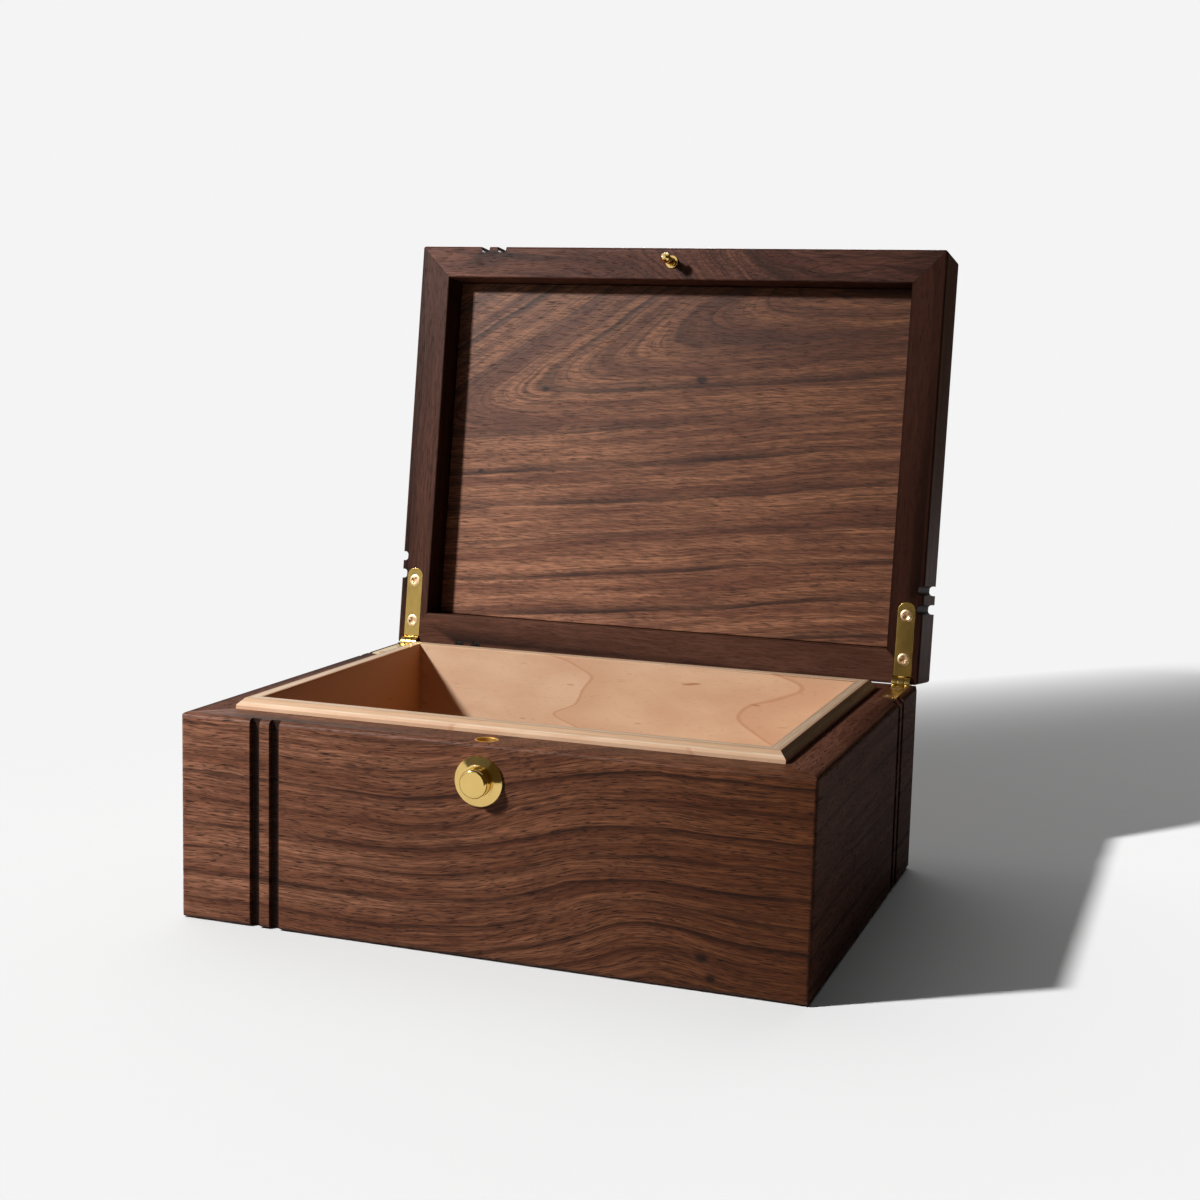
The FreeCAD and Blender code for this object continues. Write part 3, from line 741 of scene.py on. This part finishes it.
mark_board(panel, X, -Y, Z, (0, 0, -lid_panel_underside), shut_lid)
mark_grooves(panel, shut_lid)
fit(panel, panel_walnut, "walnut", "lid", "lid_panel")
bottom = eased_copy("bottom_panel", "bottom_board", liner_ease)
mark_board(bottom, X, Y, Z, (bottom_start, 0, 0), as_it_is)
fit(bottom, maple, "maple", "base", "bottom_panel")

# Hinges
for side in ("left", "right"):
    for part, body in (("base_leaf", "base"), ("lid_leaf", "lid")):
        node = f"{side}_hinge_{part}"
        leaf = eased_copy(node, f"{side}_{part}", brass_ease)
        fit(leaf, leaf_brass, "brass", body, node)
fit(hinge_screws("base_leaf_screws", rim_height, Z, as_it_is), screw_brass, "brass", "base",
    "base_hinge_screws")
fit(hinge_screws("lid_leaf_screws", rim_low, -Z, open_lid), screw_brass, "brass", "lid", "lid_hinge_screws")

# Latch
fit(eased_copy("latch_barrel", "latch_flange_and_barrel", brass_ease), turned_brass, "brass", "base",
    "latch_barrel")
fit(eased_copy("latch_bushing", "rim_bushing", brass_ease), sleeve_brass, "brass", "base", "latch_bushing")
fit(eased_copy("catch_stud", "lid_catch_stud", brass_ease), turned_brass, "brass", "lid", "catch_stud")
fit(push_button("push_button"), turned_brass, "brass", "button", "latch_button")
spring = fit(wound_spring("return_spring"), steel, "spring_steel", "base", "latch_spring")
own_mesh(spring)
for node in ("latch_slide", "latch_end_cap", "left_hinge_pin", "right_hinge_pin"):
    frame["nodes"][node].data.materials.clear()
    frame["nodes"][node].data.materials.append(turned_brass)

# Camera
view = bpy.data.objects.new("photo_view", bpy.data.cameras.new("photo_view"))
bpy.context.scene.collection.objects.link(view)
back = Vector((math.sin(camera_heading) * math.cos(camera_elevation),
               -math.cos(camera_heading) * math.cos(camera_elevation), math.sin(camera_elevation)))
turn = Matrix.Rotation(camera_heading, 4, "Z") @ Matrix.Rotation(math.pi / 2 - camera_elevation, 4, "X")
turn = turn @ Matrix.Rotation(camera_roll, 4, "Z")
view.matrix_world = Matrix.Translation(camera_target + back * camera_distance) @ turn
view.data.sensor_width = camera_sensor
view.data.sensor_fit = "HORIZONTAL"
view.data.lens = camera_lens
bpy.context.scene.camera = view

# Floor: its colour evens out the lamp's slant, so that the lit floor is one pale tone and keeps the shadow;
# the shadow's far end is washed out with painted light
shape = bmesh.new()
bmesh.ops.create_circle(shape, cap_ends=True, radius=floor_radius, segments=floor_sides,
                        matrix=Matrix.Translation((0, 0, -floor_drop)))
floor = finished_mesh(shape, "studio_floor")
paper = bpy.data.materials.new("matt_paper_floor")
tree = bare_tree(paper)
spot = add(tree, "NewGeometry", {}).outputs["Position"]
slant = add(tree, "VectorMath", {0: spot, 1: floor_key_place}, operation="DISTANCE").outputs["Value"]
slant = add(tree, "Math", {0: floor_key_place.z, 1: slant}, operation="DIVIDE")
slant = add(tree, "Math", {0: slant, 1: floor_key_level, 2: floor_sky_level + fill_level},
            operation="MULTIPLY_ADD")
tone = add(tree, "Math", {0: backdrop_level, 1: slant}, operation="DIVIDE")
tone = add(tree, "Math", {0: tone, 1: floor_tone_limit}, operation="MINIMUM")
ray = add(tree, "LightPath", {}).outputs
dim = add(tree, "MapRange", {0: ray["Is Diffuse Ray"], 1: 0, 2: 1, 3: 1, 4: floor_bounce})
tone = add(tree, "Math", {0: tone, 1: dim}, operation="MULTIPLY")
tone = add(tree, "CombineColor", {0: tone, 1: tone, 2: tone})
matt = add(tree, "BsdfDiffuse", {"Color": tone})
glow = add(tree, "Emission", {"Strength": backdrop_level})
out = add(tree, "VectorMath", {0: spot}, operation="LENGTH").outputs["Value"]
far = add(tree, "MapRange", {0: out, 1: floor_fade[0], 2: floor_fade[1], 3: 0, 4: 1},
          interpolation_type="SMOOTHSTEP")
# Painted light: behind a slanting line the floor fades into the glow, washing out the far end of the lid's
# shadow
behind = add(tree, "VectorMath", {0: spot, 1: shadow_fade_across}, operation="DOT_PRODUCT").outputs["Value"]
behind = add(tree, "MapRange", {0: behind, 1: shadow_fade[0], 2: shadow_fade[1], 3: 0, 4: 1})
behind = add(tree, "Math", {0: behind, 1: shadow_fade_power}, operation="POWER")
far = add(tree, "Math", {0: far, 1: behind}, operation="MAXIMUM")
blend = add(tree, "MixShader", {0: far, 1: matt, 2: glow})
add(tree, "OutputMaterial", {"Surface": blend})
floor.data.materials.append(paper)

# Lamps: a key and a weaker rear lamp for the box and, for the floor alone, a like key and a wide soft lamp
key = point_lamp("key_lamp", key_place, key_power, key_radius)
rear = point_lamp("rear_lamp", rear_place, rear_power, rear_radius)
floor_key = point_lamp("floor_lamp", floor_key_place, floor_key_power, floor_key_radius)
tree = bare_tree(floor_key.data)
even = add(tree, "LightFalloff", {"Strength": 1}).outputs["Constant"]
add(tree, "OutputLight", {"Surface": add(tree, "Emission", {"Strength": even})})
floor_sky = bpy.data.objects.new("floor_sky", bpy.data.lights.new("floor_sky", "SUN"))
floor_sky.rotation_mode = "QUATERNION"
floor_sky.rotation_quaternion = Z.rotation_difference(floor_sky_from)
floor_sky.data.energy = floor_sky_level * math.pi / floor_sky_from.z
floor_sky.data.angle = floor_sky_angle
for lamp, state in ((key, "EXCLUDE"), (rear, "EXCLUDE"), (floor_key, "INCLUDE"), (floor_sky, "INCLUDE")):
    bpy.context.scene.collection.objects.link(lamp)
    lit = bpy.data.collections.new(lamp.name + "_floor")
    lit.objects.link(floor)
    lamp.light_linking.receiver_collection = lit
    lit.collection_objects[0].light_linking.link_state = state

# Cloths round the studio: dark on the right and overhead, a grey card on the left, and behind the hinge
# line a strip that keeps the floor lamp from shining through the gap below the open lid
studio_cloth("dark_cloth", edge_at(dark_cloth_line, 0), edge_at(dark_cloth_line, cloth_height),
             dark_cloth_tone)
studio_cloth("grey_card", edge_at(grey_card_line, card_bottom), edge_at(grey_card_line, card_top),
             grey_card_tone)
studio_cloth("dark_ceiling", edge_at(ceiling_front, ceiling_height), edge_at(ceiling_back, ceiling_height),
             ceiling_tone)
light_stop = studio_cloth("light_stop", edge_at(light_stop_front, light_stop_height),
                          edge_at(light_stop_back, light_stop_height), ceiling_tone)
light_stop.visible_glossy = False
light_stop.visible_shadow = True

# World: weak fill for the box, and the pale backdrop for what the camera and the polished pieces see
world = bpy.data.worlds.new("studio")
bpy.context.scene.world = world
tree = bare_tree(world)
ray = add(tree, "LightPath", {}).outputs
seen = add(tree, "Math", {0: ray["Is Camera Ray"], 1: ray["Is Glossy Ray"]}, operation="ADD")
seen = add(tree, "Math", {0: seen, 1: ray["Is Transmission Ray"]}, operation="ADD", use_clamp=True)
fill = add(tree, "Background", {"Color": colour("#ffffff"), "Strength": fill_level})
backdrop = add(tree, "Background", {"Color": colour("#ffffff"), "Strength": backdrop_level})
add(tree, "OutputWorld", {"Surface": add(tree, "MixShader", {0: seen, 1: fill, 2: backdrop})})

bpy.context.scene.view_settings.view_transform = "Standard"
